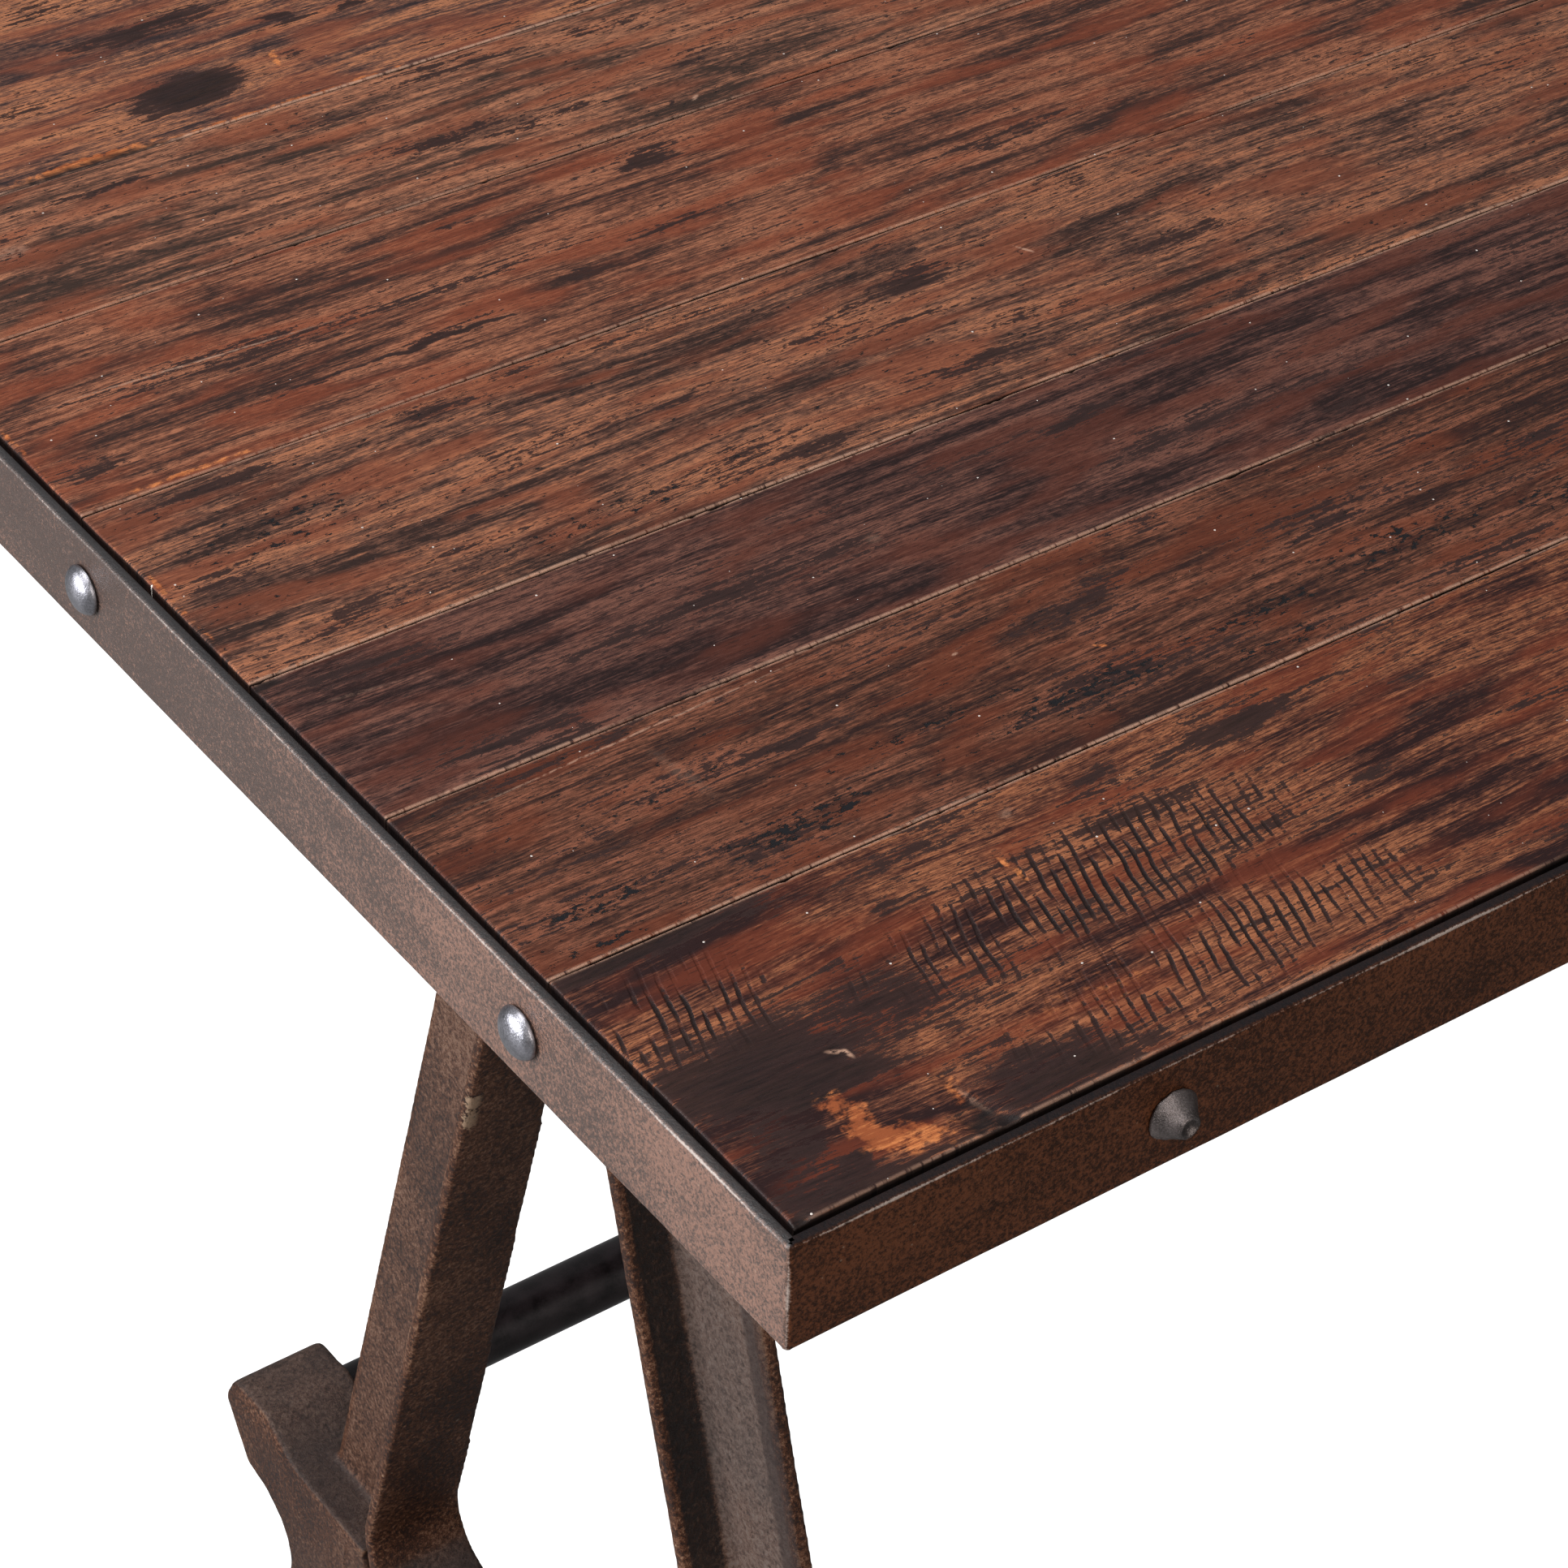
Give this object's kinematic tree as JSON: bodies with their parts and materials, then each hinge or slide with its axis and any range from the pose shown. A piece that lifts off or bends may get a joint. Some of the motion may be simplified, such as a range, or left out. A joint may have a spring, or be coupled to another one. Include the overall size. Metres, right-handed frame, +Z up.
{
  "type": "sewing table",
  "caption": "Sewing table with a plank top held in a riveted angle-iron band, on two cast-iron A-frames joined by two round stretchers.",
  "frame": {"origin": "on the floor, under the middle of the table top", "axes": "+X along the table's length, +Y across its width, +Z up"},
  "size_m": [1.229, 0.609, 0.76],
  "materials": {
    "top_wood": "satin, dark stained and worn",
    "cleat_wood": "matte, sawn",
    "band_steel": "satin, darkened bronze-brown",
    "rivet_steel": "satin, dark",
    "frame_iron": "rough cast, brown-black, edges worn",
    "rod_steel": "satin, near black",
    "screw_steel": "satin"
  },
  "bodies": {
    "root": {"top_board_1": "top_wood", "top_board_2": "top_wood", "top_board_3": "top_wood", "top_board_4": "top_wood", "top_board_5": "top_wood", "top_board_6": "top_wood", "top_board_7": "top_wood", "top_board_8": "top_wood", "band_front": "band_steel", "band_right": "band_steel", "band_back": "band_steel", "band_left": "band_steel", "end_rivet_left_1": "rivet_steel", "end_rivet_left_2": "rivet_steel", "end_rivet_left_3": "rivet_steel", "end_rivet_right_1": "rivet_steel", "end_rivet_right_2": "rivet_steel", "end_rivet_right_3": "rivet_steel", "side_rivet_front_1": "rivet_steel", "side_rivet_front_2": "rivet_steel", "side_rivet_front_3": "rivet_steel", "side_rivet_front_4": "rivet_steel", "side_rivet_front_5": "rivet_steel", "side_rivet_front_6": "rivet_steel", "side_rivet_back_1": "rivet_steel", "side_rivet_back_2": "rivet_steel", "side_rivet_back_3": "rivet_steel", "side_rivet_back_4": "rivet_steel", "side_rivet_back_5": "rivet_steel", "side_rivet_back_6": "rivet_steel", "underside_cleat": "cleat_wood", "cleat_screw_1": "screw_steel", "cleat_screw_2": "screw_steel", "cleat_screw_3": "screw_steel", "cleat_screw_4": "screw_steel", "end_frame_left": "frame_iron", "end_frame_right": "frame_iron", "frame_screw_left_1": "screw_steel", "frame_screw_left_2": "screw_steel", "frame_screw_left_3": "screw_steel", "frame_screw_left_4": "screw_steel", "frame_screw_right_1": "screw_steel", "frame_screw_right_2": "screw_steel", "frame_screw_right_3": "screw_steel", "frame_screw_right_4": "screw_steel", "stretcher_rod_front": "rod_steel", "stretcher_rod_back": "rod_steel", "rod_pin_front_left": "screw_steel", "rod_pin_front_right": "screw_steel", "rod_pin_back_left": "screw_steel", "rod_pin_back_right": "screw_steel"}
  },
  "joints": []
}
